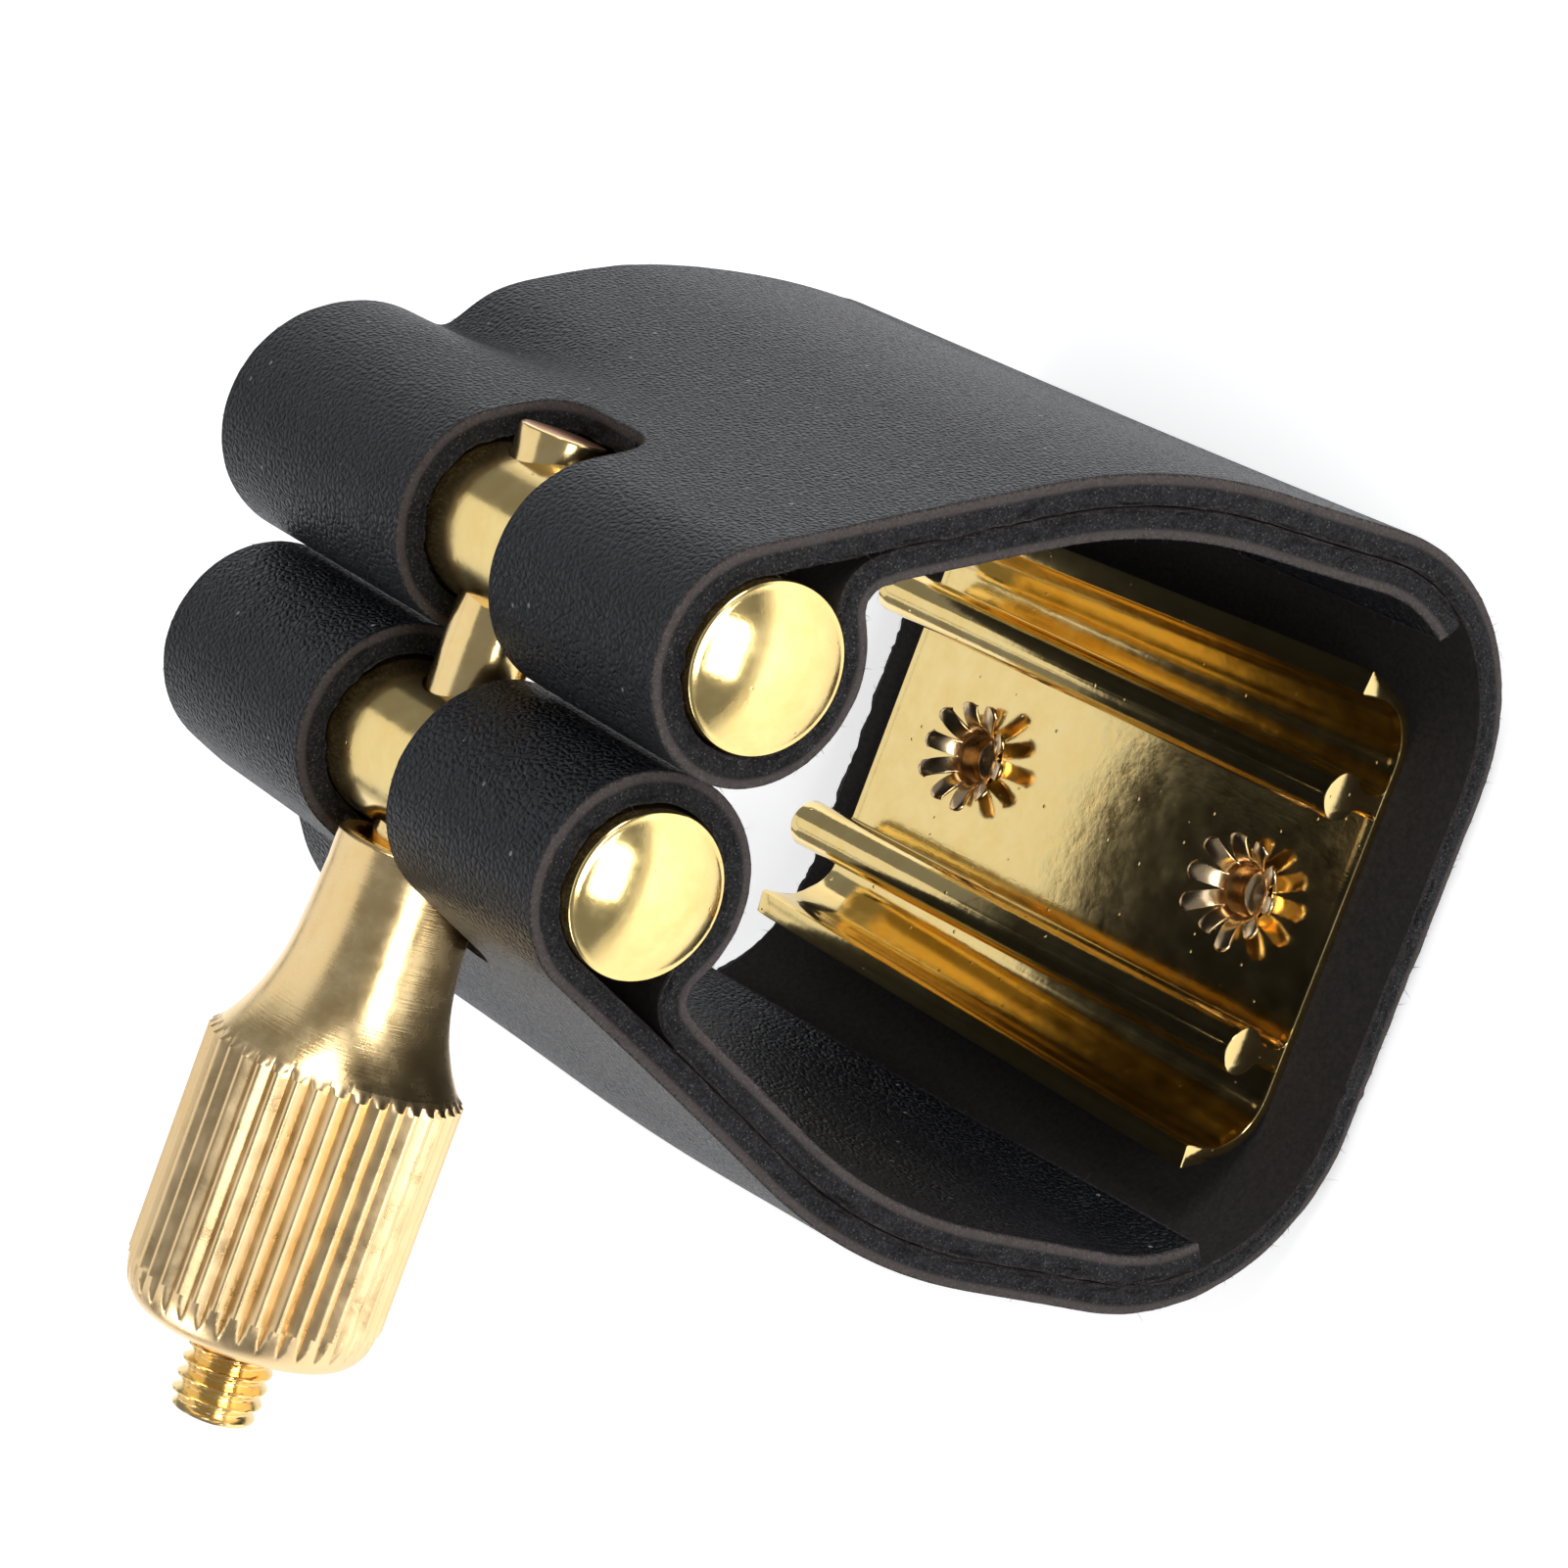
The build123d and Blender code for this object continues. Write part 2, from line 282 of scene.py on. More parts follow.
# ---- materials ----
def leather_grain():
    """Black leather with a fine pebbled grain, a soft sheen and a few specks of dust."""
    material, tree, shader = new_material("leather_grain")
    strip = mapped(tree, 1.0, "UV")
    drift = node(tree, "TexNoise", {"Vector": strip, "Scale": 2.2, "Detail": 2.0})
    shift = node(tree, "VectorMath", {0: drift.outputs["Color"], 1: (0.35,) * 3},
                 operation="MULTIPLY").outputs[0]
    warped = node(tree, "VectorMath", {0: strip, 1: shift}, operation="ADD").outputs[0]
    stretched = node(tree, "Mapping", {"Vector": warped, "Scale": (4.4, 3.0, 1.0)})
    cracks = spots(tree, stretched.outputs[0], 1.0, "2D", "DISTANCE_TO_EDGE")
    pebbles = scaled(tree, cracks, 0.0, 0.40, 0.0, 1.0)
    fine = noise(tree, strip, 9.0, 4.0, 0.6)
    broad = noise(tree, strip, 0.35, 3.0, 0.55)
    colour = ramp(tree, broad, [(0.3, (0.0040, 0.0044, 0.0066)), (0.7, (0.0080, 0.0086, 0.0118))])
    specks = spots(tree, strip, 0.34, "2D")
    settled = scaled(tree, noise(tree, strip, 0.5, 2.0), 0.48, 0.56, 0.0, 0.030)
    near = node(tree, "Math", {0: settled, 1: specks}, operation="SUBTRACT").outputs[0]
    dust = scaled(tree, near, 0.0, 0.008, 0.0, 0.5)
    dusty = node(tree, "Mix", {"Factor": dust, "A": colour, "B": (0.55, 0.55, 0.56, 1)},
                 data_type="RGBA")
    shape = bump(tree, broad, 0.18, 0.5)
    shape = bump(tree, pebbles, 0.16, 1.0, shape)
    set_inputs(tree, shader, {
        "Base Color": dusty.outputs["Result"],
        "Roughness": scaled(tree, fine, 0.25, 0.75, 0.30, 0.46),
        "Specular IOR Level": 0.30, "Specular Tint": (0.86, 0.90, 1.0, 1),
        "Normal": bump(tree, fine, 0.07, 1.0, shape)})
    return material


def leather_edge():
    """The cut edge: a thin grey-brown finished layer over a black fuzzy core."""
    material, tree, shader = new_material("leather_edge")
    across = node(tree, "Attribute", attribute_name="across").outputs["Fac"]
    place = mapped(tree, 1.0)
    fuzz = noise(tree, place, 9.0, 5.0, 0.75)
    wander = scaled(tree, fuzz, 0.3, 0.7, -0.06, 0.06)
    shifted = node(tree, "Math", {0: across, 1: wander}, operation="ADD").outputs[0]
    layers = ramp(tree, shifted, [
        (0.0, (0.022, 0.019, 0.018)), (0.07, (0.085, 0.068, 0.062)), (0.27, (0.070, 0.055, 0.050)),
        (0.36, (0.004, 0.004, 0.005)), (0.88, (0.006, 0.006, 0.007)), (1.0, (0.045, 0.037, 0.034))])
    lighter = scaled(tree, fuzz, 0.46, 0.68, 0.0, 1.0)
    mottled = node(tree, "Mix",
                   {"Factor": lighter, "A": layers, "B": (0.050, 0.047, 0.051, 1)},
                   data_type="RGBA", blend_type="ADD")
    crumb = scaled(tree, spots(tree, place, 5.5), 0.15, 0.22, 0.6, 0.0)
    speckled = node(tree, "Mix", {"Factor": crumb, "A": mottled.outputs["Result"],
                                            "B": (0.16, 0.14, 0.14, 1)}, data_type="RGBA")
    set_inputs(tree, shader, {
        "Base Color": speckled.outputs["Result"], "Roughness": 0.8,
        "Specular IOR Level": 0.3, "Normal": bump(tree, fuzz, 0.20)})
    return material


def leather_flesh():
    """The napped inside of the leather."""
    material, tree, shader = new_material("leather_flesh")
    nap = noise(tree, mapped(tree, 1.0), 5.0, 6.0, 0.75)
    colour = ramp(tree, nap, [(0.3, (0.012, 0.011, 0.011)), (0.7, (0.032, 0.027, 0.025))])
    set_inputs(tree, shader, {
        "Base Color": colour, "Roughness": 0.95, "Specular IOR Level": 0.2,
        "Normal": bump(tree, nap, 0.08, 0.7)})
    return material


def leather_fibre():
    """Loose fibres of the cut edge, from black to grey."""
    material, tree, shader = new_material("leather_fibre")
    tint = noise(tree, mapped(tree, 1.0), 0.8, 1.0)
    colour = ramp(tree, tint, [(0.35, (0.010, 0.009, 0.011)), (0.7, (0.07, 0.066, 0.07))])
    set_inputs(tree, shader, {"Base Color": colour, "Roughness": 0.7})
    return material


def gold(name, tint, roughness, turned=False, scratch=0.3, pits=0.0):
    """Polished gold plating with haze, fine scratches, pits and, if turned, cutting marks."""
    material, tree, shader = new_material(name)
    place = mapped(tree, 1.0)
    haze = noise(tree, place, 0.9, 4.0, 0.6)
    fine = noise(tree, place, 12.0, 3.0, 0.6)
    deep = tuple(channel * share for channel, share in zip(tint, (0.93, 0.86, 0.74)))
    hazy = scaled(tree, haze, 0.3, 0.75, roughness * 0.75, roughness * 1.5)
    shape = bump(tree, haze, 0.03, 0.12 if turned else 0.35)
    shape = bump(tree, fine, 0.002, scratch, shape)
    if turned:
        rings = noise(tree, mapped(tree, (14.0, 0.3, 0.3)), 1.0, 3.0, 0.6)
        shape = bump(tree, rings, 0.016, 0.5, shape)
        grit = noise(tree, place, 7.0, 4.0, 0.7)
        shape = bump(tree, grit, 0.006, 0.5, shape)
    else:
        lines = noise(tree, mapped(tree, (14.0, 0.8, 14.0)), 1.0, 3.0, 0.6)
        shape = bump(tree, lines, 0.004, scratch, shape)
    if pits:
        hollow = scaled(tree, spots(tree, place, 1.15), 0.03, 0.09, 0.0, 1.0)
        shape = bump(tree, hollow, 0.03, pits, shape)
    set_inputs(tree, shader, {
        "Base Color": ramp(tree, haze, [(0.3, deep), (0.72, tint)]),
        "Metallic": 1.0, "Roughness": hazy, "Normal": shape})
    return material


def bare_brass():
    """The stud's sawn, unplated end."""
    material, tree, shader = new_material("bare_brass")
    cut = noise(tree, mapped(tree, (1.0, 9.0, 1.0)), 1.0, 4.0, 0.6)
    colour = ramp(tree, cut, [(0.3, (0.42, 0.21, 0.12)), (0.7, (0.74, 0.45, 0.30))])
    set_inputs(tree, shader, {
        "Base Color": colour, "Metallic": 1.0, "Roughness": 0.42,
        "Normal": bump(tree, cut, 0.02, 0.5)})
    return material


LEATHER_LAYERS = [leather_grain(), leather_edge(), leather_flesh(), leather_fibre()]
GRAIN, EDGE, FLESH, FIBRE = range(4)     # their slots
GOLD_PLATE = gold("gold_plate", (0.96, 0.76, 0.35), 0.12, scratch=0.35, pits=0.6)
GOLD_BARREL = gold("gold_barrel", (1.0, 0.78, 0.34), 0.15, scratch=0.3, pits=0.2)
GOLD_NUT = gold("gold_nut", (1.0, 0.76, 0.40), 0.23, turned=True)
GOLD_KNURL = gold("gold_knurl", (0.96, 0.73, 0.42), 0.3, scratch=0.6)
GOLD_EYELET = gold("gold_eyelet", (0.86, 0.66, 0.42), 0.22, scratch=0.4)
GOLD_STUD = gold("gold_stud", (1.0, 0.77, 0.38), 0.16)
BARE_BRASS = bare_brass()


# ---- leather strap: its section and its middle surface ----
def arc(centre, radius, start, end, step, facing=1):
    """Stations on an arc between two angles in degrees, as (x, level, normal x, normal level). The
    normal points away from the centre if facing is 1."""
    count = max(2, round(abs(math.radians(end - start)) * radius / step))
    angles = np.radians(np.linspace(start, end, count, endpoint=False))
    normal = np.stack([np.cos(angles), np.sin(angles)], 1)
    return np.hstack([np.array(centre) + radius * normal, facing * normal])


def run(start, end, normal, step):
    """Stations on a straight run, without its end."""
    start, end = np.array(start, float), np.array(end, float)
    count = max(1, round(np.linalg.norm(end - start) / step))
    share = np.linspace(0, 1, count, endpoint=False)[:, None]
    return np.hstack([start + share * (end - start), np.tile(normal, (count, 1))])


def half_section(step=0.3):
    """One side of the strap across the band: up from the end of the inner layer, round the barrel
    and down to the middle of the bottom. Rows of (x, level, normal x, normal level, slope), the
    last 1 where the level rises with the bottom's slope and 0 where it keeps to the barrels."""
    lean_deg = math.degrees(LEAN)
    out = np.array((math.cos(LEAN), math.sin(LEAN)))
    down = np.array((math.sin(LEAN), -math.cos(LEAN)))
    barrel = np.array((BARREL_X, 0.0))
    inset = INNER_OFFSET + LAYER_GAP
    corner = np.array((BAND_HALF_WIDTH - CORNER_RADIUS, BOTTOM_LEVEL + CORNER_RADIUS))
    bulge = np.array((BAND_HALF_WIDTH - BULGE_RADIUS, BULGE_END))
    inner_wall = BAND_HALF_WIDTH - inset
    outer_wall = BAND_HALF_WIDTH - OUTER_OFFSET
    inner_corner = CORNER_RADIUS - inset
    tail_angle = math.degrees(math.asin((TAIL_HEIGHT - CORNER_RADIUS) / inner_corner))
    fold_reach = LOOP_RADIUS + FOLD_RADIUS
    fold_out = LOOP_RADIUS + OUTER_OFFSET - inset - FOLD_RADIUS
    fold_down = math.sqrt(fold_reach**2 - fold_out**2)
    fold_centre = barrel + fold_out * out + fold_down * down
    to_barrel = math.degrees(math.atan2(*(barrel - fold_centre)[::-1]))
    inner_top = fold_centre + FOLD_RADIUS * out
    inner_bulge_top = bulge + (BULGE_RADIUS - inset) * out
    outer_bulge_top = bulge + (BULGE_RADIUS - OUTER_OFFSET) * out
    outer_top = barrel + LOOP_RADIUS * out
    bottom = BOTTOM_LEVEL + OUTER_OFFSET

    # Each stretch with its slope at the start and at the end.
    stretches = [
        (arc(corner, inner_corner, tail_angle, 0, step, -1), 1, 1),
        (run((inner_wall, corner[1]), (inner_wall, BULGE_END), (-1, 0), step), 1, 0),
        (arc(bulge, BULGE_RADIUS - inset, 0, lean_deg, step, -1), 0, 0),
        (run(inner_bulge_top, inner_top, -out, step), 0, 0),
        (arc(fold_centre, FOLD_RADIUS, lean_deg, to_barrel, step * 0.6, -1), 0, 0),
        (arc(barrel, LOOP_RADIUS, to_barrel - 180, lean_deg - 360, step), 0, 0),
        (run(outer_top, outer_bulge_top, out, step), 0, 0),
        (arc(bulge, BULGE_RADIUS - OUTER_OFFSET, lean_deg, 0, step), 0, 0),
        (run((outer_wall, BULGE_END), (outer_wall, corner[1]), (1, 0), step), 0, 1),
        (arc(corner, CORNER_RADIUS - OUTER_OFFSET, 0, -90, step), 1, 1),
        (run((corner[0], bottom), (0, bottom), (0, -1), step), 1, 1),
    ]
    rows = []
    for stations, slope_start, slope_end in stretches:
        slope = np.linspace(slope_start, slope_end, len(stations), endpoint=False)[:, None]
        rows.append(np.hstack([stations, slope]))
    return np.vstack(rows)


def strap_stations():
    """The strap's stations from one end to the other, and the index of the bottom's middle."""
    half = half_section()
    middle = np.array([[0, BOTTOM_LEVEL + OUTER_OFFSET, 0, -1, 1]])
    other = half[::-1] * (-1, 1, -1, 1, 1)
    return np.vstack([half, middle, other]), len(half)


STATIONS, MIDDLE = strap_stations()
COLUMNS = 88                 # of points from front to back
LOOP_PRESS = 0.09            # the two loops press against each other
# Where a wall swells or is pinched off its plain shape: side, level, half height, share of the way
# back, half depth, millimetres outwards. Side 1 is the anchor barrel's and -1 the sliding barrel's.
SWELLS = (
    (1, 0.6, 2.2, 1.0, 0.30, 0.45),
    (1, -3.0, 1.5, 1.0, 0.30, -1.10),
    (1, -8.5, 4.0, 1.0, 0.45, 0.30),
    (1, -19.0, 10.0, 0.35, 0.70, -0.38),
    (-1, -3.0, 1.6, 1.0, 0.32, -0.95),
    (-1, -8.5, 3.6, 1.0, 0.35, 0.85),
    (-1, -15.0, 8.5, 0.50, 0.45, 0.95),
)


def bell(value, middle, half):
    return np.exp(-((value - middle) / half) ** 2)


def swell_at(side, level, share):
    """How far the band lies outside its plain shape."""
    total = 0 * share
    for where, middle, half, depth, half_depth, amount in SWELLS:
        swell = amount * bell(level, middle, half) * bell(share, depth, half_depth)
        total = total + np.where(side == where, swell, 0)
    return total


def grid_normals(points, guide):
    """Unit normals of a grid of points, on the guide's side."""
    normal = np.cross(np.gradient(points, axis=0), np.gradient(points, axis=1))
    normal /= np.linalg.norm(normal, axis=2, keepdims=True)
    return normal * np.sign((normal * guide).sum(2, keepdims=True))


def strap_surface():
    """The strap's middle surface by station and column: its points and normals, each station's
    length along the strip, and each point's distance."""
    x, level, nx, nl, slope = (STATIONS[:, k:k + 1] for k in range(5))
    side = np.where(np.arange(len(STATIONS)) <= MIDDLE, 1.0, -1.0)[:, None]
    front_end = np.where(side > 0, ANCHOR_ENDS[0], SLIDING_ENDS[0])
    back_end = np.where(side > 0, ANCHOR_ENDS[1], SLIDING_ENDS[1])
    back_level = BOTTOM_LEVEL + BACK_BOTTOM * math.tan(TAPER)
    share = np.linspace(0, 1, COLUMNS)[None, :]
    distance = share * BACK_BOTTOM + 0 * x
    # The front and back edges lean, so a point's distance and level depend on each other.
    for _ in range(6):
        here = level + slope * math.tan(TAPER) * distance
        front = front_end * (here - BOTTOM_LEVEL) / -BOTTOM_LEVEL
        back = BACK_BOTTOM + (back_end - BACK_BOTTOM) * (here - back_level) / -back_level
        distance = front + share * (back - front)
    here = level + slope * math.tan(TAPER) * distance
    points = (FRONT + x[..., None] * SIDEWAYS + here[..., None] * UP
              + distance[..., None] * ALONG)
    guide = nx[..., None] * SIDEWAYS + nl[..., None] * UP
    normal = grid_normals(points, guide)
    outwards = np.array((math.cos(LEAN), 0, 0)) * side[..., None] + math.sin(LEAN) * UP
    inner_wall = x * side > BARREL_X + 0.5
    on_wall = np.clip(np.maximum(nx * side, -nx * side * inner_wall) * 1.6, 0, 1)
    swell = swell_at(side, level, share) * on_wall
    touching = LOOP_PRESS * np.clip(-nx * side, 0, 1) ** 2 * (level > -LOOP_RADIUS)
    points = points + swell[..., None] * outwards + touching[..., None] * normal
    normal = grid_normals(points, guide)
    steps = np.linalg.norm(np.diff(points[:, COLUMNS // 2], axis=0), axis=1)
    run_length = np.concatenate([[0], np.cumsum(steps)])
    return points, normal, run_length, distance


POINTS, NORMALS, RUN, DISTANCE = strap_surface()


def station_at(side, level, outer=True):
    """Run length where the outer layer, or the loop's inner face, passes a level on one side."""
    rows = np.arange(len(STATIONS))
    on_side = rows < MIDDLE if side > 0 else rows > MIDDLE
    x = STATIONS[:, 0] * side
    facing = STATIONS[:, 2] * side
    wanted = on_side & (facing > 0.5 if outer else (facing < -0.5) & (x < BARREL_X))
    found = rows[wanted]
    return RUN[found[np.argmin(abs(STATIONS[found, 1] - level))]]


def hole_reach(hole, at):
    """Signed distance outside a hole's edge, and the nearest point on that edge. A hole is a
    rounded rectangle in the flat strap: its middle, half sizes and corner radius."""
    middle, half_sizes, corner = hole
    local = at - np.array(middle)
    away = np.abs(local) - (np.array(half_sizes) - corner)
    outside = np.maximum(away, 0)
    length = np.linalg.norm(outside, axis=-1)
    signed = length + np.minimum(away.max(-1), 0) - corner
    direction = np.where(length[..., None] > 1e-9, outside / np.maximum(length, 1e-9)[..., None],
                         (away == away.max(-1, keepdims=True)).astype(float))
    return signed, at - signed[..., None] * direction * np.sign(local)


# The slot in each loop: side, middle and half length along the barrel, level of its outer end.
SLOTS = ((1, 14.05, 3.25, -1.0), (-1, 15.3, 3.3, -3.3))
SLOT_INNER_LEVEL = -2.6
SLOT_CORNER = 1.6
RIVET_HOLE = 1.35


def strap_holes():
    """The slots that show the barrels and the two rivets' holes."""
    holes = []
    for side, middle, half, outer_level in SLOTS:
        start, end = sorted((station_at(side, outer_level),
                             station_at(side, SLOT_INNER_LEVEL, outer=False)))
        holes.append((((start + end) / 2, middle), ((end - start) / 2, half), SLOT_CORNER))
    for rivet in RIVETS:
        distance = np.interp(cad_middle(rivet)[1], POINTS[MIDDLE, :, 1], DISTANCE[MIDDLE])
        holes.append(((RUN[MIDDLE], distance), (RIVET_HOLE, RIVET_HOLE), RIVET_HOLE))
    return holes


HOLES = strap_holes()


# ---- leather strap: its mesh ----
def sheet_at(row, column):
    """Point and normal of the strap's middle surface at fractional grid places."""
    r0 = np.clip(np.floor(row).astype(int), 0, len(RUN) - 2)
    c0 = np.clip(np.floor(column).astype(int), 0, COLUMNS - 2)
    fr, fc = (row - r0)[:, None], (column - c0)[:, None]

    def mix(grid):
        return ((1 - fr) * (1 - fc) * grid[r0, c0] + fr * (1 - fc) * grid[r0 + 1, c0]
                + (1 - fr) * fc * grid[r0, c0 + 1] + fr * fc * grid[r0 + 1, c0 + 1])

    normal = mix(NORMALS)
    return mix(POINTS), normal / np.linalg.norm(normal, axis=1, keepdims=True)


def corners_of(cells):
    """The grid points that are a corner of a marked cell."""
    found = np.zeros((cells.shape[0] + 1, cells.shape[1] + 1), bool)
    for row in (0, 1):
        for column in (0, 1):
            found[row:row + cells.shape[0], column:column + cells.shape[1]] |= cells
    return found


def cut_sheet(rows):
    """The middle surface over some stations, with its holes: points, normals, flat coordinates,
    station numbers, and faces seen anticlockwise from outside."""
    flat_run, flat_distance = RUN[rows], DISTANCE[rows]
    flat = np.stack([np.repeat(flat_run[:, None], COLUMNS, 1), flat_distance], 2)
    place = np.stack(np.meshgrid(rows.astype(float), np.arange(COLUMNS, dtype=float),
                                 indexing="ij"), 2)
    run_slope = np.gradient(flat_run)[:, None]
    keep = np.ones((len(rows) - 1, COLUMNS - 1), bool)
    for hole in HOLES:
        signed, edge_point = hole_reach(hole, flat)
        inside = (signed < 0).astype(int)
        cut = inside[:-1, :-1] + inside[1:, :-1] + inside[:-1, 1:] + inside[1:, 1:] >= 3
        keep &= ~cut
        rim = corners_of(cut) & corners_of(~cut)
        change = edge_point - flat
        distance_slope = np.gradient(flat_distance, axis=1)
        place[..., 0] += np.where(rim, change[..., 0] / run_slope, 0)
        place[..., 1] += np.where(rim, change[..., 1] / distance_slope, 0)
        flat = np.where(rim[..., None], edge_point, flat)
    index = np.arange(len(rows) * COLUMNS).reshape(len(rows), COLUMNS)
    quads = np.array([[index[i, j], index[i, j + 1], index[i + 1, j + 1], index[i + 1, j]]
                      for i, j in zip(*np.nonzero(keep))])
    point, normal = sheet_at(place[..., 0].ravel(), place[..., 1].ravel())
    corner = point[quads[0]]
    facing = np.cross(corner[1] - corner[0], corner[2] - corner[0])
    if np.dot(facing, normal[quads[0][0]]) < 0:
        quads = quads[:, ::-1]
    used = np.unique(quads)
    renumber = -np.ones(len(point), int)
    renumber[used] = np.arange(len(used))
    station = place[..., 0].ravel()[used]
    return point[used], normal[used], flat.reshape(-1, 2)[used], station, renumber[quads].tolist()


def boundary_loops(faces):
    """Closed chains of boundary points, each with the sheet on its left."""
    edges = set()
    for face in faces:
        for a, b in zip(face, face[1:] + face[:1]):
            if (b, a) in edges:
                edges.remove((b, a))
            else:
                edges.add((a, b))
    after = dict(edges)
    loops = []
    while after:
        start = next(iter(after))
        loop = [start]
        nxt = after.pop(start)
        while nxt != start:
            loop.append(nxt)
            nxt = after.pop(nxt)
        loops.append(loop)
    return loops


def unit(vectors):
    return vectors / np.linalg.norm(vectors, axis=1, keepdims=True)


RIM_STEPS = 12               # faces over the edge's thickness
EDGE_ROUND = 0.13            # how far the edge's corners are rounded
SKIN_SHARE = 0.25            # of the thickness, which is smooth before the fuzzy core
SKIN_ROUGH, CORE_ROUGH = 0.018, 0.075
FIBRES_PER_POINT = 1.3


def make_strap(name, first, last, seam_row):
    """The strap between two stations, with thickness, holes, fuzzy edges and stray fibres. Its edge
    at the seam's station is left plain, to meet the other part."""
    point, normal, flat, station, quads = cut_sheet(np.arange(first, last + 1))
    count = len(point)
    theta = np.pi * np.arange(1, RIM_STEPS) / RIM_STEPS
    lift = LEATHER / 2 * np.sign(np.cos(theta)) * np.abs(np.cos(theta))**0.5
    spread = EDGE_ROUND * (np.sin(theta)**0.5 - 1)
    across = 0.5 - lift / LEATHER
    core = np.clip((across - SKIN_SHARE) / 0.15, 0, 1)

    pulled = np.zeros_like(point)
    rim_points, rim_across, rim_flat, rim_faces, seeds = [], [], [], [], []
    base = 2 * count
    for loop in boundary_loops(quads):
        loop = np.array(loop)
        size = len(loop)
        tangent = unit(np.roll(point[loop], -1, 0) - np.roll(point[loop], 1, 0))
        outward = unit(np.cross(tangent, normal[loop]))
        seam = np.isin(np.round(station[loop], 6), [seam_row])
        soft = np.where(seam, 0.0, 1.0)
        pulled[loop] = -outward * EDGE_ROUND * soft[:, None]
        rough = rng.normal(0, 1, (size, RIM_STEPS - 1))
        rough = 0.6 * rough + 0.4 * np.roll(rough, 1, 0)
        move = (spread + rough * (SKIN_ROUGH + CORE_ROUGH * core)) * soft[:, None]
        ring = (point[loop][:, None] + normal[loop][:, None] * lift[None, :, None]
                + outward[:, None] * move[..., None])
        number = base + np.arange(size * (RIM_STEPS - 1)).reshape(size, RIM_STEPS - 1)
        strip = np.hstack([loop[:, None], number, count + loop[:, None]])
        for a, b in zip(strip.tolist(), np.roll(strip, -1, 0).tolist()):
            rim_faces += [[b[k], a[k], a[k + 1], b[k + 1]] for k in range(RIM_STEPS)]
        rim_points.append(ring.reshape(-1, 3))
        rim_across.append(np.tile(across, size))
        rim_flat.append(np.repeat(flat[loop], RIM_STEPS - 1, 0))
        base += size * (RIM_STEPS - 1)
        chosen = rng.integers(0, size, int(size * FIBRES_PER_POINT))
        heights = rng.integers(1, RIM_STEPS - 1, len(chosen))
        seeds += [(ring[i, k], outward[i], normal[loop[i]], tangent[i])
                  for i, k in zip(chosen, heights) if not seam[i]]

    top = point + normal * LEATHER / 2 + pulled
    under = point - normal * LEATHER / 2 + pulled
    fibre_points, fibre_faces = fibre_strands(seeds, base)
    points = np.vstack([top, under] + rim_points + [fibre_points])
    under_faces = [[c + count for c in quad[::-1]] for quad in quads]
    slots = ([GRAIN] * len(quads) + [FLESH] * len(quads) + [EDGE] * len(rim_faces)
             + [FIBRE] * len(fibre_faces))
    faces = quads + under_faces + rim_faces + fibre_faces
    strap = new_piece(name, points, faces, LEATHER_LAYERS, 50)
    mesh = strap.data
    mesh.polygons.foreach_set("material_index", slots)
    depth = np.concatenate([np.zeros(count), np.ones(count)] + rim_across
                           + [np.full(len(fibre_points), 0.5)])
    attribute = mesh.attributes.new("across", "FLOAT", "POINT")
    attribute.data.foreach_set("value", depth.astype(np.float32))
    flat_points = np.vstack([flat, flat] + rim_flat + [np.zeros((len(fibre_points), 2))])
    corner_point = np.empty(len(mesh.loops), int)
    mesh.loops.foreach_get("vertex_index", corner_point)
    strip_map = mesh.uv_layers.new(name="strip")
    strip_map.data.foreach_set("uv", flat_points[corner_point].astype(np.float32).ravel())
    return strap


def fibre_strands(seeds, first_index):
    """Short curved tapering fibres that stand out of the cut edge."""
    corners = (0.0, 2.094, 4.189)     # of a strand's triangular section, in radians
    points, faces = [], []
    for origin, outward, normal, tangent in seeds:
        length = 0.1 + 0.28 * rng.random()**2
        radius = 0.008 + 0.006 * rng.random()
        lean = rng.normal(0, 0.8, 2)
        curl = rng.normal(0, 0.6, 2)
        direction = outward + lean[0] * tangent + lean[1] * 0.6 * normal
        direction /= np.linalg.norm(direction)
        side = np.cross(direction, normal + 0.01)
        side /= np.linalg.norm(side)
        other = np.cross(direction, side)
        bend = curl[0] * side + curl[1] * other
        start = first_index + len(points)
        for step, size in ((-0.1, 1.0), (0.5, 0.8), (1.0, 0.25)):
            centre = origin + length * (step * direction + step * abs(step) * bend)
            for angle in corners:
                spoke = math.cos(angle) * side + math.sin(angle) * other
                points.append(centre + radius * size * spoke)
        for ring in (0, 3):
            for k in range(3):
                a, b = start + ring + k, start + ring + (k + 1) % 3
                faces.append([a, b, b + 3, a + 3])
        faces += [[start + 2, start + 1, start], [start + 6, start + 7, start + 8]]
    return np.array(points).reshape(-1, 3), faces


SEAM_X = -5.0                # where the moving part begins, under the plate
SEAM_ROW = MIDDLE + int(np.argmin(abs(STATIONS[MIDDLE:MIDDLE + 40, 0] - SEAM_X)))
strap_fixed = make_strap("leather_strap_fixed_part", 0, SEAM_ROW, SEAM_ROW)
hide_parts("strap_base")
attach(strap_fixed, "base")
strap_moving = make_strap("leather_strap_moving_part", SEAM_ROW, len(RUN) - 1, SEAM_ROW)
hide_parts("strap_arm")
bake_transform(strap_moving)


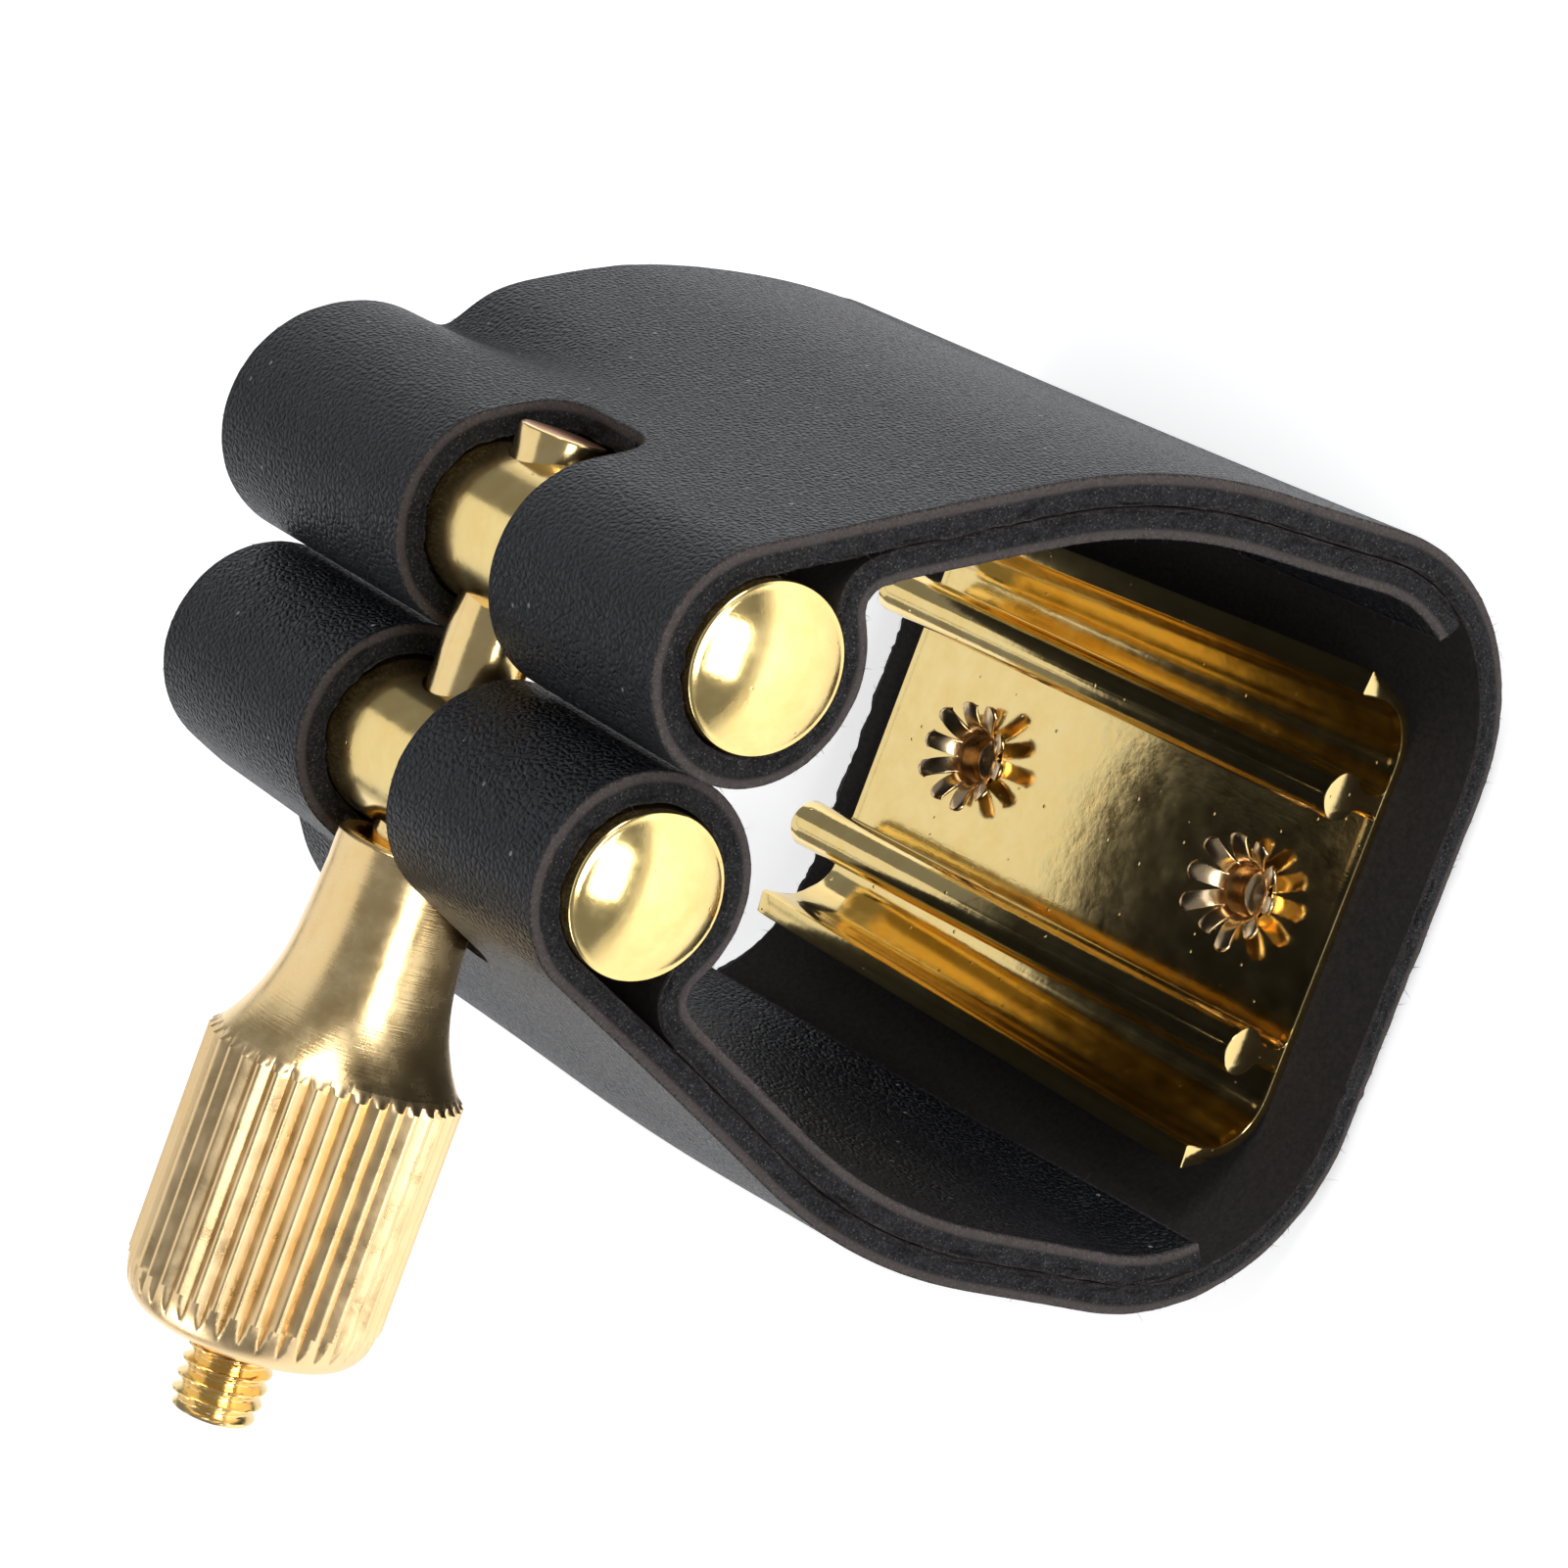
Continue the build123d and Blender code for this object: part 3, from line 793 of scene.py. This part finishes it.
# ---- thumb nut and stud ----
def turned_piece(name, profile, materials, segments, ripple, finish_of):
    """A lathe of (x, radius) stations about the stud's axis. ripple gives the change of radius at a
    station round the axis, and finish_of the material between two stations."""
    angles = full_turn(segments)
    points, faces, slots = [], [], []
    for k, (x, radius) in enumerate(profile):
        radii = radius + ripple(x, radius, angles)
        points.append(STUD_CENTRE + np.stack([np.full(segments, float(x)), radii * np.cos(angles),
                                              radii * np.sin(angles)], 1))
        if k:
            faces += band_faces(k, segments, flip=True)
            slots += [finish_of(profile[k - 1], profile[k])] * segments
    piece = new_piece(name, np.vstack(points), faces, materials, 32)
    piece.data.polygons.foreach_set("material_index", slots)
    return piece


def smooth_profile(points, radius=0.05):
    """A profile with its corners rounded by short arcs."""
    points = [np.array(p, float) for p in points]
    rounded = [points[0]]
    for before, here, after in zip(points, points[1:], points[2:]):
        back, ahead = before - here, after - here
        reach = min(radius, 0.45 * np.linalg.norm(back), 0.45 * np.linalg.norm(ahead))
        start = here + reach * back / np.linalg.norm(back)
        end = here + reach * ahead / np.linalg.norm(ahead)
        for t in (0, 0.33, 0.67, 1):
            rounded.append((1 - t)**2 * start + 2 * t * (1 - t) * here + t**2 * end)
    return rounded + [points[-1]]


def make_nut():
    """The thumb nut: countersunk mouth, collar, concave neck, V knurl and rounded base."""
    low, high = cad_box("thumb_nut")
    top, bottom = high[0], low[0]
    body = (high[2] - low[2]) / 2
    bore, neck = 1.71, 2.8
    collar_end, shoulder = top - 1.3, top - 8.1
    teeth, tooth_depth = 38, 0.30
    base_height, base_inset = 1.7, 1.35
    flare_sag, flare_lip = 0.85, 0.25
    knurl_end = bottom + base_height

    flare_length, flare_rise = shoulder - collar_end, body - flare_lip - neck
    flare = []
    for t in np.linspace(0, 1, 40):
        sag = flare_sag * (t * (1 - t)) * 4
        flare.append((collar_end + t * flare_length,
                      neck + t * flare_rise - sag * (0.35 + 0.65 * t)))
    knurl = [(x, body) for x in np.linspace(shoulder - 0.22, knurl_end, 60)]
    base = [(knurl_end - base_height * math.sin(a),
             body - 0.10 - base_inset * (1 - math.cos(a)) ** 1.1)
            for a in np.linspace(0, math.pi / 2, 20)]
    profile = smooth_profile([(top - 0.75, bore), (top - 0.6, bore + 0.02),
                              (top - 0.02, bore + 0.5), (top, bore + 0.62),
                              (top, neck - 0.12), (top - 0.12, neck), (collar_end, neck)])
    profile += flare[1:] + knurl + base
    profile += smooth_profile([(bottom, base[-1][1] - 0.05), (bottom, bore + 0.35),
                               (bottom + 0.3, bore + 0.02), (bottom + 0.6, bore)])
    profile += [(x, bore) for x in np.linspace(bottom + 0.9, top - 0.9, 6)]
    profile += [(top - 0.75, bore)]

    def knurling(x, radius, angles):
        if radius < neck - 0.2 or x > shoulder + 0.1 or x < bottom + 0.25:
            return 0 * angles
        cycle = (angles * teeth / (2 * np.pi)) % 1.0
        groove = 1 - np.abs(2 * cycle - 1)
        groove = np.clip((groove - 0.12) / 0.88, 0, 1) * tooth_depth
        return np.minimum(0, body - groove - radius)

    def finish_of(before, here):
        outside = min(before[1], here[1]) > neck - 0.2
        return 1 if here[0] < shoulder + 0.15 and outside else 0

    nut = turned_piece("thumb_nut_turned", profile, [GOLD_NUT, GOLD_KNURL], teeth * 12, knurling,
                       finish_of)
    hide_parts("thumb_nut")
    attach(nut, "nut")


def make_stud():
    """The stud: sawn end, smooth rod and a helical thread that runs out at the tip."""
    low, high = cad_box("draw_stud")
    top, tip = high[0], low[0]
    radius = (high[2] - low[2]) / 2
    pitch, depth, thread_start = 0.6, 0.3, -12.0
    spacing = 0.04           # of the thread's stations
    profile = [(top - 0.001, 0.02), (top, radius - 0.12), (top - 0.05, radius - 0.03),
               (top - 0.12, radius)]
    profile += [(x, radius) for x in np.linspace(top - 1, thread_start, 20)]
    profile += [(x, radius) for x in np.arange(thread_start - spacing, tip + 0.02, -spacing)]
    profile += [(tip, radius - depth - 0.05), (tip, 0.02)]

    def helix(x, nominal, turn):
        if x >= thread_start or nominal < radius - 0.01:
            return 0 * turn
        cycle = ((thread_start - x) / pitch + turn / (2 * np.pi)) % 1.0
        shape = np.clip(np.abs(2 * cycle - 1) * 1.25 - 0.12, 0, 1)
        run_in = min(1.0, (thread_start - x) / 0.8)
        run_out = max(0.0, 1 - (x - tip) / 0.55)
        return -depth * run_in * (1 - shape) - 0.42 * depth * run_out * shape

    def finish_of(before, here):
        return 1 if here[0] > top - 0.01 else 0

    stud = turned_piece("draw_stud_threaded", profile, [GOLD_STUD, BARE_BRASS], 72, helix,
                        finish_of)
    mend(stud, fill=True)
    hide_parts("draw_stud")
    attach(stud, "base")


make_nut()
make_stud()


# ---- barrels ----
BARREL_OVERHANG = 0.33       # of the domed heads past the loops
STUD_HOLES = {1: 1.68, -1: 1.78}     # radii: the stud is fast in one barrel and slides in the other


def make_barrel(name, side, ends, body):
    """A barrel: domed heads with a turned rim, their dents seen only in reflections."""
    radius, dome, rim = BARREL_RADIUS, 0.9, 0.16
    front, back = ends[0] - BARREL_OVERHANG, ends[1] + BARREL_OVERHANG
    sphere = (radius**2 + dome**2) / (2 * dome)

    def dome_profile(at, direction):
        rows = []
        for r in np.linspace(0.0, radius - rim, 26):
            rows.append((at + direction * (math.sqrt(sphere**2 - r**2) - (sphere - dome)), r))
        edge = rows[-1][0]
        for a in np.linspace(20, 90, 6):
            rows.append((edge - direction * rim * 0.9 * (1 - math.cos(math.radians(a))),
                         radius - rim + rim * math.sin(math.radians(a))))
        return rows

    wall = [(front + (back - front) * t, radius) for t in np.linspace(0.03, 0.97, 60)]
    rows = dome_profile(front, -1) + wall + dome_profile(back, 1)[::-1]
    segments = 96
    angles = full_turn(segments)
    origin = FRONT + np.array((side * BARREL_X, 0, 0))
    points, faces = [], []
    for k, (distance, r) in enumerate(rows):
        dents = 0.018 * (math.sin(distance * 2.1 + side) * np.cos(angles * 2 + side) * r / radius)
        on_head = r < radius - rim
        points.append(origin + np.outer(distance + dents * on_head, ALONG)
                      + r * np.outer(np.cos(angles), SIDEWAYS) + r * np.outer(np.sin(angles), UP))
        if k:
            faces += band_faces(k, segments, flip=True)
    piece = new_piece(name + "_turned", np.vstack(points), faces, [GOLD_BARREL], 60)
    mend(piece, merge=1e-7)
    cut_holes(piece, [(STUD_CENTRE, (12.0, 0, 0), STUD_HOLES[side])], 35)
    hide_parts(name)
    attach(piece, body)


make_barrel("anchor_barrel", 1, ANCHOR_BARREL, "base")
make_barrel("sliding_barrel", -1, SLIDING_BARREL, "sliding_side")


# ---- reed plate ----
def plate_outline():
    """Closed outline of the plate across X, with heights above its floor: up inside the right
    flange, down outside it and under the floor, then the same on the left."""
    bend, half = 2.3, 8.85
    top = plate_high[2] - PLATE_FLOOR
    inner, outer = [], []
    for a in np.linspace(0, math.pi / 2, 14):
        for row, reach in ((inner, bend), (outer, bend + PLATE_SHEET)):
            row.append((half - bend + reach * math.sin(a), bend - reach * math.cos(a)))
    wedge = [(half, top - 0.12), (half + 0.06, top - 0.02), (half + 0.88, top - 0.10),
             (half + 0.95, top - 0.16), (half + 0.93, top - 0.26),
             (half + PLATE_SHEET + 0.06, top - 1.75)]
    right = inner + wedge + outer[::-1]
    left = [(-x, z) for x, z in right[::-1]]
    return right + left


def bead_outline(side):
    """Closed outline of one bead on its web."""
    x, radius, height, web = side * 5.03, 0.95, 2.35, 0.33
    ring = []
    for a in np.radians(np.linspace(-62, 242, 34)):
        swell = 1 + 0.06 * max(0, math.sin(a)) ** 6
        ring.append((x + radius * math.cos(a), height + radius * swell * math.sin(a)))
    foot = [(web, height - 1.2), (web, 0.35), (web + 0.14, 0.10), (web + 0.3, -0.02)]
    return ring + [(x - out, z) for out, z in foot] + [(x + out, z) for out, z in foot[::-1]]


def extruded(outline, start, end, taper=0.0):
    """Points and faces of an outline drawn along Y, its end edges rounded. The flanges close in by
    the taper."""
    bevel = 0.06
    outline = np.array(outline, float)
    size = len(outline)
    ahead, behind = unit(np.roll(outline, -1, 0) - outline), unit(outline - np.roll(outline, 1, 0))
    normal = np.stack([(ahead + behind)[:, 1], -(ahead + behind)[:, 0]], 1)
    normal /= np.maximum(np.linalg.norm(normal, axis=1, keepdims=True), 1e-9)
    area = 0.5 * np.sum(outline[:, 0] * np.roll(outline[:, 1], -1)
                        - np.roll(outline[:, 0], -1) * outline[:, 1])
    normal *= np.sign(area)
    stations = [(start, bevel), (start + bevel * 0.3, bevel * 0.3), (start + bevel, 0.0)]
    stations += [(y, 0.0) for y in np.linspace(start + 0.5, end - 0.5, 30)]
    stations += [(end - bevel, 0.0), (end - bevel * 0.3, bevel * 0.3), (end, bevel)]
    points, faces = [], []
    for k, (y, inset) in enumerate(stations):
        ring = outline - inset * normal
        flange = np.clip((np.abs(ring[:, 0]) - 6.2) / 2.2, 0, 1)
        ring[:, 0] -= np.sign(ring[:, 0]) * taper * flange * (y - start) / (end - start)
        points += [(x, y, PLATE_FLOOR + z) for x, z in ring]
        if k:
            faces += band_faces(k, size)
    return points, faces + end_faces(len(stations), size)


def make_plate():
    """The reed plate: a floor between two flanges, two beads, and the rivets' holes."""
    start, end = plate_low[1], plate_high[1]
    plate = new_piece("reed_plate_formed", *extruded(plate_outline(), start, end, taper=0.8),
                      [GOLD_PLATE], 38)
    cut_holes(plate, [(cad_middle(rivet), (0, 0, 2.0), 1.22) for rivet in RIVETS], 38)
    beads = [new_piece("bead", *extruded(bead_outline(side), start + 0.02, end - 0.02),
                       [GOLD_PLATE], 38) for side in (-1, 1)]
    mend(plate, beads)
    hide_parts("reed_plate")
    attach(plate, "base")


make_plate()


# ---- star rivets ----
RIVET_BORE = 1.12            # radius
PETALS = 10
PETAL_STEPS = 24             # points across a petal
RIVET_SHEET = 0.16
# The flared end: millimetres out from the bore and up from the plate's floor.
FLARE = ((0, -0.2), (0, -0.05), (0.03, 0.12), (0.12, 0.30), (0.26, 0.48), (0.44, 0.64),
         (0.64, 0.77), (0.83, 0.86), (0.98, 0.92), (1.08, 0.94))
SPLIT_FROM = 0.06            # out from the bore, where the petals part
TIP_ROWS = 5                 # of the flare, over which a petal's tip is rounded


def make_eyelet(node_name):
    """A tubular rivet: closed flat head under the leather, petals flared up over the plate."""
    low, high = cad_box(node_name)
    centre = cad_middle(node_name)
    bore, floor, under = RIVET_BORE, PLATE_FLOOR, low[2]
    head = (high[0] - low[0]) / 2 - 0.03
    profile = [(head - 0.1, under + 0.02), (bore + 0.45, under + 0.02), (bore + 0.12, under + 0.12),
               (0.02, under + 0.16), (0.5 * bore, under + 0.18), (bore - 0.1, under + 0.24),
               (bore, under + 0.4)]
    profile += [(bore + out, floor + rise) for out, rise in FLARE]
    segments = PETALS * PETAL_STEPS
    turn = np.arange(segments) / PETAL_STEPS
    phase = turn % 1.0
    side = np.abs(phase - 0.5) * 2
    which = np.floor(turn).astype(int)
    ragged = rng.normal(0, 1, PETALS)
    points, faces = [], []
    for k, (radius, z) in enumerate(profile):
        flared = z > floor
        opened = max(0.0, min(1.0, (radius - bore - SPLIT_FROM) / 1.02)) if flared else 0.0
        narrowing = 0.56 * opened**0.6
        squeezed = which + 0.5 + (phase - 0.5) * (1 - narrowing)
        angle = 2 * np.pi * squeezed / PETALS
        tip = max(0, k - (len(profile) - TIP_ROWS))
        rounding = 1 - 0.16 * side**2.5 * tip / (TIP_ROWS - 1)
        length = 1 + 0.10 * ragged[which] * opened
        reach = bore + (radius - bore) * length * rounding
        droop = -0.13 * opened * side**2 + 0.06 * ragged[which] * opened
        points.append(np.stack([centre[0] + reach * np.cos(angle),
                                centre[1] + reach * np.sin(angle), z + droop * flared], 1))
        if k:
            split = flared and radius > bore + SPLIT_FROM
            faces += [face for i, face in enumerate(band_faces(k, segments), 1)
                      if not (split and i % PETAL_STEPS == 0)]
    eyelet = new_piece(node_name + "_star", np.vstack(points), faces, [GOLD_EYELET], 60)
    thick = eyelet.modifiers.new("sheet", "SOLIDIFY")
    thick.thickness = RIVET_SHEET * MM
    thick.offset = -1.0
    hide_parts(node_name)
    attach(eyelet, "base")


for rivet_name in RIVETS:
    make_eyelet(rivet_name)


# ---- floor, light and camera ----
FLOOR_GAP = 0.0004           # below the CAD's box, in metres
FLOOR_GLOW = 0.42            # a lit table, so the floor stays pale under soft light
# Soft lights aimed at the middle of the part: place, size, watts.
LIGHTS = {
    "overhead": ((-40, 120, 200), (260, 200), 0.105),
    "low_back": ((-60, 250, 95), (260, 130), 0.068),
    "right_key": ((190, -60, 130), (110, 90), 0.24),
    "left_key": ((-190, 60, 120), (90, 130), 0.15),
    "front_window": ((10, -200, 80), (130, 70), 0.27),
}
WORLD_COLOUR, WORLD_STRENGTH = (0.92, 0.95, 1.0, 1), 0.24
# The camera, fitted to points on the part in the photograph.
CAMERA_LENS = 112.45
CAMERA_PLACE = (22.43, -120.34, 131.51)
CAMERA_TURN = (11.206, 42.006, -62.170)


def make_floor():
    """A pale floor under the part."""
    low = cad_bounds[0]
    half = 1.2
    z = low[2] - FLOOR_GAP
    mesh = bpy.data.meshes.new("floor")
    mesh.from_pydata([(-half, -half, z), (half, -half, z), (half, half, z), (-half, half, z)], [],
                     [[0, 1, 2, 3]])
    floor = bpy.data.objects.new("floor", mesh)
    bpy.context.scene.collection.objects.link(floor)
    material, tree, shader = new_material("floor_paper")
    set_inputs(tree, shader, {
        "Base Color": (0.92, 0.92, 0.92, 1), "Roughness": 0.9,
        "Emission Color": (1, 1, 1, 1), "Emission Strength": FLOOR_GLOW,
        "Specular IOR Level": 0.1})
    mesh.materials.append(material)


def make_lights():
    """The area lights and a dim bluish surround."""
    for name, (place, size, power) in LIGHTS.items():
        lamp = bpy.data.lights.new(name, "AREA")
        lamp.shape = "RECTANGLE"
        lamp.size, lamp.size_y = size[0] * MM, size[1] * MM
        lamp.energy = power
        holder = bpy.data.objects.new(name, lamp)
        holder.location = Vector(place) * MM
        holder.rotation_euler = (-Vector(place)).to_track_quat("-Z", "Y").to_euler()
        bpy.context.scene.collection.objects.link(holder)
    world = bpy.data.worlds.new("studio")
    world.use_nodes = True
    background = world.node_tree.nodes["Background"]
    background.inputs["Color"].default_value = WORLD_COLOUR
    background.inputs["Strength"].default_value = WORLD_STRENGTH
    bpy.context.scene.world = world


def make_camera():
    """The camera at the photograph's angle."""
    camera = bpy.data.cameras.new("camera")
    camera.sensor_width = 36.0
    camera.lens = CAMERA_LENS
    camera.clip_start, camera.clip_end = 0.01, 10
    holder = bpy.data.objects.new("camera", camera)
    holder.location = Vector(CAMERA_PLACE) * MM
    holder.rotation_euler = Euler([math.radians(a) for a in CAMERA_TURN], "XYZ")
    bpy.context.scene.collection.objects.link(holder)
    bpy.context.scene.camera = holder


make_floor()
make_lights()
make_camera()
bpy.context.scene.view_settings.view_transform = "Standard"
